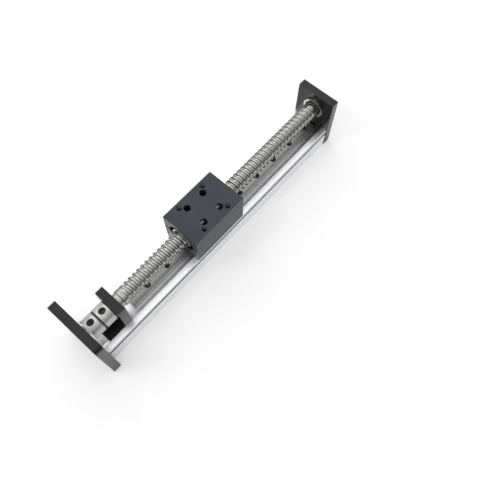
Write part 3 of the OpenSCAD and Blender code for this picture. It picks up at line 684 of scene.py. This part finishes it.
# The plain ends reach a little way into the threaded bar
near_end, far_end = (corner.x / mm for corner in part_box("ball_screw"))
inside_bar = 0.5
journal_r, collar_r, shoulder_r = 4, 7.25, 6
collar_x, shoulder_x = -116.5, 148
clip_x0, clip_x1, clip_r = 155.1, 155.9, 3.8
add_turned([(near_end, journal_r - chamfer), (near_end + chamfer, journal_r),
            (collar_x, journal_r), (collar_x, 6.9), (-116.25, 7.2), (-115.95, collar_r),
            (-112.6, collar_r), (thread_x0 + inside_bar, collar_r)])
add_turned([(thread_x1 - inside_bar, shoulder_r), (147.7, shoulder_r), (147.9, 5.9),
            (shoulder_x, 5.7), (shoulder_x, journal_r), (clip_x0, journal_r),
            (clip_x0, clip_r), (clip_x1, clip_r), (clip_x1, journal_r),
            (far_end - chamfer, journal_r), (far_end, journal_r - chamfer)])


def on_crest_edge(face):
    """Whether a face of the thread is a narrow one between the crest and the groove."""
    corners = face.vertices
    if max(corners) >= steps * tall:
        return False
    q = min(i % tall for i in corners) - len(near_lip)
    return 0 <= q < count - 1 and q % shift in crest_edge_bands


screw_mesh = bpy.data.meshes.new("ground_screw")
screw_mesh.from_pydata(turned_points, [], turned_faces)
# The narrow faces at the crest's edges carry the mask of the dark line
mark_faces(screw_mesh, "crest_edge_line", on_crest_edge)
finished(screw_mesh, "ground_screw", "screw", ground_steel, "ball_screw",
         smooth_under=32)

# ---- Spacer and retaining ring ---------------------------------------------------------
# A ground spacer stands between the coupling and the fixed bearing. A spring steel ring snaps
# into the groove behind the far bearing.

softened("shaft_spacer", "spacer_sleeve", "screw", ring_steel, 0.15 * mm)

spring_steel = new_finish(
    "spring_steel", anodised_grain, dark=(0.12, 0.12, 0.13), light=(0.20, 0.20, 0.21),
    gloss=(0.28, 0.42), Grain=8000.0, Clouds=600.0)
softened("shaft_retaining_ring", "snap_ring", "screw", spring_steel, 0.08 * mm)

# ---- Coupling --------------------------------------------------------------------------
# Two turned aluminium hubs clamp the motor's shaft and the screw, with a black polymer disc
# keyed between them. Each hub has one black set screw with a hexagon socket.

turned_aluminium = new_finish(
    "turned_aluminium", turned_marks, dark=(0.46, 0.46, 0.45), light=(0.64, 0.64, 0.63),
    gloss=(0.38, 0.48), depth=0.00001, Marks=5200.0)
black_polymer = new_finish(
    "black_polymer", anodised_grain, dark=(0.016, 0.016, 0.017), light=(0.028, 0.028, 0.030),
    gloss=(0.38, 0.55), depth=0.00003, metallic=0.0, Grain=4000.0, Clouds=200.0)

for node, name in (("coupling_motor_hub", "motor_hub"), ("coupling_screw_hub", "screw_hub")):
    softened(node, name, "screw", turned_aluminium, 0.15 * mm)
softened("coupling_disc", "keyed_disc", "screw", black_polymer, 0.12 * mm)


def set_screw(length):
    """An M6 set screw with a fine thread, whose top with its hexagon socket is at z = 0."""
    point = [(-length, 1.6), (-length + 0.5, 2.5)]
    cut = climbing(-length + 0.7, -0.45, 0.19, thread(3, 0.3, 0.75))
    rim = [(-0.3, 2.75), (0, 2.5), (0, 1.95)]
    socket = [(-0.25, hexagon(3)), (-2.2, hexagon(3)), (-2.8, 0.1)]
    return stacked(point + cut + rim + socket, steps=72)


placed = []
for low, high in solids_of("coupling_set_screws"):
    top = (low + high) / 2
    top.z = high.z
    placed.append((set_screw((high.z - low.z) / mm), Matrix.Translation(top)))
finished(joined(placed), "set_screws", "screw", black_screws,
         "coupling_set_screws", smooth_under=30)

# ---- Carriage block --------------------------------------------------------------------
# The carriage is milled from one block of aluminium, anodised dark grey. It is bored for the
# nut, slit beside the bore, and drilled over the guide block's screws. Four holes are tapped
# for a load.

grey_anodised = new_finish(
    "grey_anodised", anodised_grain, dark=(0.023, 0.027, 0.036), light=(0.033, 0.038, 0.048),
    depth=0.00002, metallic=0.0, Grain=5500.0, Clouds=35.0)
shader_of(grey_anodised).inputs["IOR"].default_value = 1.40
# Painted sheen and wear: the carriage's rounded edges are coloured lighter
rub_and_sheen_edges(grey_anodised, (0.22, 0.22, 0.23), Marks=600.0, Amount=0.30)

# Painted shade: inside the bore and the slits the colour is almost black, and the skin is dull
tree = grey_anodised.node_tree
painted_bore_shade = face_mask(grey_anodised, "painted_bore_shade")
lay_over(grey_anodised, painted_bore_shade, (0.004, 0.004, 0.005))
cutter = use(tree, drawn_lines, Across=900.0, Along=40.0)
milled = between(tree, cutter.outputs["Lines"], 0.30, 0.40)
dull = wire(tree, "ShaderNodeMath", {"operation": "MAXIMUM"}, _0=milled, _1=painted_bore_shade)
tree.links.new(dull.outputs[0], shader_of(grey_anodised).inputs["Roughness"])

load_holes = hole_places("carriage_bolts", Matrix.Identity(4))
carriage = softened("carriage_block", "carriage_milled", "carriage",
                    grey_anodised, 0.2 * mm, sinks=[hole.translation for hole in load_holes])
block_low, block_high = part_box("carriage_block")


def is_inside(face):
    """Whether a face looks into the bore or a slit, rather than out of the block."""
    skin, bore_reach = 0.3 * mm, 21 * mm
    at_skin = min(*(face.center - block_low), *(block_high - face.center)) < skin
    near_bore = math.hypot(face.center.y, face.center.z - axis_z) < bore_reach
    return near_bore and not at_skin and abs(face.normal.x) < 0.5


# The faces in the bore and the slits carry the mask of painted shade
mark_faces(carriage.data, "painted_bore_shade", is_inside)

# The threads are cut after anodising, so they show dull metal
cut_thread = new_finish(
    "cut_thread", anodised_grain, dark=(0.15, 0.155, 0.16), light=(0.22, 0.225, 0.23),
    gloss=(0.30, 0.45), Grain=6000.0, Clouds=800.0)
finished(joined([(hole_thread(M5_hole, depth=9), place) for place in load_holes]),
         "load_hole_threads", "carriage", cut_thread)

# ---- Ball nut --------------------------------------------------------------------------
# The nut is a ground steel sleeve held in the carriage's bore. Polished balls run in the screw's
# groove and polymer deflectors send them back, with a polymer wiper at each end.

softened("ball_nut", "nut_body", "carriage", ring_steel, 0.2 * mm)
softened("nut_wipers", "wiper_rings", "carriage", black_polymer, 0.2 * mm)
carry_over("nut_balls", ball_steel)
carry_over("nut_deflectors", black_polymer)

# ---- Guide block -----------------------------------------------------------------------
# A steel block rides on the rail, with balls in its legs. Black polymer caps with red rubber
# seals close its ends, and four cap screws under the access holes hold it to the carriage.

red_seal = new_finish(
    "red_seal", anodised_grain, dark=(0.20, 0.022, 0.015), light=(0.29, 0.035, 0.022),
    gloss=(0.5, 0.65), metallic=0.0, Grain=3000.0, Clouds=200.0)

softened("guide_block", "block_body", "carriage", rail_steel, 0.25 * mm)
softened("guide_block_end_caps", "block_end_caps", "carriage", black_polymer,
         0.3 * mm)
softened("guide_block_seals", "block_seals", "carriage", red_seal, 0.15 * mm)
carry_over("guide_block_balls", ball_steel)
add_cap_screws("guide_block_screws", "block_cap_screws", "carriage", M3, (0, 0, 1))
